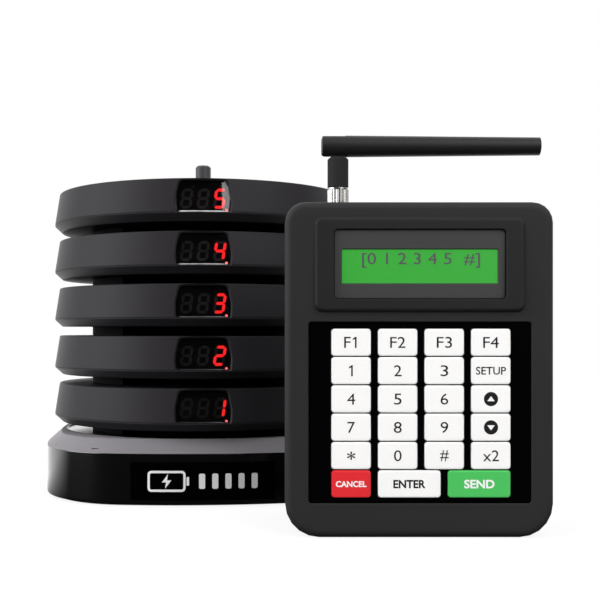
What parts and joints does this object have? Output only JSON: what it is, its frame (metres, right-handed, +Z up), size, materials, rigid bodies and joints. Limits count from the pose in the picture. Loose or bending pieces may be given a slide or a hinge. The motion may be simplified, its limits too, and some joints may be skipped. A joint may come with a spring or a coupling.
{
  "type": "guest pager system",
  "caption": "Stack of round coaster pagers on a square charging base, beside a keypad console with a small display and a folding antenna.",
  "frame": {"origin": "on the counter, under the middle of the pager stack", "axes": "+Z up; -Y the way the keypad faces; +X to the right as the keypad is read; the base and pagers are turned 3.42 degrees about +Z"},
  "size_m": [0.1725, 0.1774, 0.1259],
  "materials": {
    "gloss_black_abs": "gloss",
    "satin_black_abs": "satin",
    "label_plate": "gloss",
    "rubber_sole": "matte",
    "charging_steel": "polished",
    "circuit_board": "satin",
    "pager_abs": "satin",
    "smoked_lens": "gloss",
    "console_abs": "satin",
    "display_surround": "satin",
    "display_glass": "gloss",
    "key_panel": "gloss",
    "keycap_white": "satin",
    "keycap_red": "satin",
    "keycap_green": "satin",
    "silicone_mat": "matte",
    "connector_nickel": "polished",
    "antenna_plastic": "satin"
  },
  "bodies": {
    "base": {"base_sole": "rubber_sole", "base_bottom_plate": "satin_black_abs", "base_housing": "gloss_black_abs", "base_label_plate": "label_plate", "base_charge_post": "charging_steel", "base_board": "circuit_board"},
    "pager_1": {"pager_1_top_shell": "pager_abs", "pager_1_bottom_shell": "pager_abs", "pager_1_window": "smoked_lens", "pager_1_electronics": "circuit_board"},
    "pager_2": {"pager_2_top_shell": "pager_abs", "pager_2_bottom_shell": "pager_abs", "pager_2_window": "smoked_lens", "pager_2_electronics": "circuit_board"},
    "pager_3": {"pager_3_top_shell": "pager_abs", "pager_3_bottom_shell": "pager_abs", "pager_3_window": "smoked_lens", "pager_3_electronics": "circuit_board"},
    "pager_4": {"pager_4_top_shell": "pager_abs", "pager_4_bottom_shell": "pager_abs", "pager_4_window": "smoked_lens", "pager_4_electronics": "circuit_board"},
    "pager_5": {"pager_5_top_shell": "pager_abs", "pager_5_bottom_shell": "pager_abs", "pager_5_window": "smoked_lens", "pager_5_electronics": "circuit_board"},
    "console": {"console_front_shell": "console_abs", "console_rear_shell": "console_abs", "display_surround": "display_surround", "display_module": "display_glass", "keypad_panel": "key_panel", "keypad_mat": "silicone_mat", "console_board": "circuit_board", "antenna_connector": "connector_nickel"},
    "antenna_sleeve": {"antenna_swivel": "antenna_plastic"},
    "antenna_rod": {"antenna_arm": "antenna_plastic"},
    "key_f1": {"key_f1": "keycap_white"},
    "key_f2": {"key_f2": "keycap_white"},
    "key_f3": {"key_f3": "keycap_white"},
    "key_f4": {"key_f4": "keycap_white"},
    "key_1": {"key_1": "keycap_white"},
    "key_2": {"key_2": "keycap_white"},
    "key_3": {"key_3": "keycap_white"},
    "key_setup": {"key_setup": "keycap_white"},
    "key_4": {"key_4": "keycap_white"},
    "key_5": {"key_5": "keycap_white"},
    "key_6": {"key_6": "keycap_white"},
    "key_up": {"key_up": "keycap_white"},
    "key_7": {"key_7": "keycap_white"},
    "key_8": {"key_8": "keycap_white"},
    "key_9": {"key_9": "keycap_white"},
    "key_down": {"key_down": "keycap_white"},
    "key_star": {"key_star": "keycap_white"},
    "key_0": {"key_0": "keycap_white"},
    "key_hash": {"key_hash": "keycap_white"},
    "key_x2": {"key_x2": "keycap_white"},
    "key_cancel": {"key_cancel": "keycap_red"},
    "key_enter": {"key_enter": "keycap_white"},
    "key_send": {"key_send": "keycap_green"}
  },
  "joints": [
    {"name": "pager_1_lift", "type": "slide", "parent": "base", "child": "pager_1", "axis": [0, 0, 1], "range_m": [0, 0.03]},
    {"name": "pager_2_lift", "type": "slide", "parent": "pager_1", "child": "pager_2", "axis": [0, 0, 1], "range_m": [0, 0.03]},
    {"name": "pager_3_lift", "type": "slide", "parent": "pager_2", "child": "pager_3", "axis": [0, 0, 1], "range_m": [0, 0.03]},
    {"name": "pager_4_lift", "type": "slide", "parent": "pager_3", "child": "pager_4", "axis": [0, 0, 1], "range_m": [0, 0.03]},
    {"name": "pager_5_lift", "type": "slide", "parent": "pager_4", "child": "pager_5", "axis": [0, 0, 1], "range_m": [0, 0.03]},
    {"name": "console_lift", "type": "slide", "parent": "base", "child": "console", "axis": [0, 0, 1], "range_m": [0, 0.05]},
    {"name": "antenna_turn", "type": "hinge", "parent": "console", "child": "antenna_sleeve", "pos_m": [0.0466, -0.1, 0.1083], "axis": [0, 0, 1], "range_deg": [-180, 75]},
    {"name": "antenna_fold", "type": "hinge", "parent": "antenna_sleeve", "child": "antenna_rod", "pos_m": [0.0447, -0.1, 0.11765], "axis": [0, -1, 0], "range_deg": [0, 90]},
    {"name": "key_f1_press", "type": "slide", "parent": "console", "child": "key_f1", "axis": [0, 1, 0], "range_m": [0, 0.0005], "stiffness_N_per_m": 400},
    {"name": "key_f2_press", "type": "slide", "parent": "console", "child": "key_f2", "axis": [0, 1, 0], "range_m": [0, 0.0005], "stiffness_N_per_m": 400},
    {"name": "key_f3_press", "type": "slide", "parent": "console", "child": "key_f3", "axis": [0, 1, 0], "range_m": [0, 0.0005], "stiffness_N_per_m": 400},
    {"name": "key_f4_press", "type": "slide", "parent": "console", "child": "key_f4", "axis": [0, 1, 0], "range_m": [0, 0.0005], "stiffness_N_per_m": 400},
    {"name": "key_1_press", "type": "slide", "parent": "console", "child": "key_1", "axis": [0, 1, 0], "range_m": [0, 0.0005], "stiffness_N_per_m": 400},
    {"name": "key_2_press", "type": "slide", "parent": "console", "child": "key_2", "axis": [0, 1, 0], "range_m": [0, 0.0005], "stiffness_N_per_m": 400},
    {"name": "key_3_press", "type": "slide", "parent": "console", "child": "key_3", "axis": [0, 1, 0], "range_m": [0, 0.0005], "stiffness_N_per_m": 400},
    {"name": "key_setup_press", "type": "slide", "parent": "console", "child": "key_setup", "axis": [0, 1, 0], "range_m": [0, 0.0005], "stiffness_N_per_m": 400},
    {"name": "key_4_press", "type": "slide", "parent": "console", "child": "key_4", "axis": [0, 1, 0], "range_m": [0, 0.0005], "stiffness_N_per_m": 400},
    {"name": "key_5_press", "type": "slide", "parent": "console", "child": "key_5", "axis": [0, 1, 0], "range_m": [0, 0.0005], "stiffness_N_per_m": 400},
    {"name": "key_6_press", "type": "slide", "parent": "console", "child": "key_6", "axis": [0, 1, 0], "range_m": [0, 0.0005], "stiffness_N_per_m": 400},
    {"name": "key_up_press", "type": "slide", "parent": "console", "child": "key_up", "axis": [0, 1, 0], "range_m": [0, 0.0005], "stiffness_N_per_m": 400},
    {"name": "key_7_press", "type": "slide", "parent": "console", "child": "key_7", "axis": [0, 1, 0], "range_m": [0, 0.0005], "stiffness_N_per_m": 400},
    {"name": "key_8_press", "type": "slide", "parent": "console", "child": "key_8", "axis": [0, 1, 0], "range_m": [0, 0.0005], "stiffness_N_per_m": 400},
    {"name": "key_9_press", "type": "slide", "parent": "console", "child": "key_9", "axis": [0, 1, 0], "range_m": [0, 0.0005], "stiffness_N_per_m": 400},
    {"name": "key_down_press", "type": "slide", "parent": "console", "child": "key_down", "axis": [0, 1, 0], "range_m": [0, 0.0005], "stiffness_N_per_m": 400},
    {"name": "key_star_press", "type": "slide", "parent": "console", "child": "key_star", "axis": [0, 1, 0], "range_m": [0, 0.0005], "stiffness_N_per_m": 400},
    {"name": "key_0_press", "type": "slide", "parent": "console", "child": "key_0", "axis": [0, 1, 0], "range_m": [0, 0.0005], "stiffness_N_per_m": 400},
    {"name": "key_hash_press", "type": "slide", "parent": "console", "child": "key_hash", "axis": [0, 1, 0], "range_m": [0, 0.0005], "stiffness_N_per_m": 400},
    {"name": "key_x2_press", "type": "slide", "parent": "console", "child": "key_x2", "axis": [0, 1, 0], "range_m": [0, 0.0005], "stiffness_N_per_m": 400},
    {"name": "key_cancel_press", "type": "slide", "parent": "console", "child": "key_cancel", "axis": [0, 1, 0], "range_m": [0, 0.0005], "stiffness_N_per_m": 400},
    {"name": "key_enter_press", "type": "slide", "parent": "console", "child": "key_enter", "axis": [0, 1, 0], "range_m": [0, 0.0005], "stiffness_N_per_m": 400},
    {"name": "key_send_press", "type": "slide", "parent": "console", "child": "key_send", "axis": [0, 1, 0], "range_m": [0, 0.0005], "stiffness_N_per_m": 400}
  ]
}
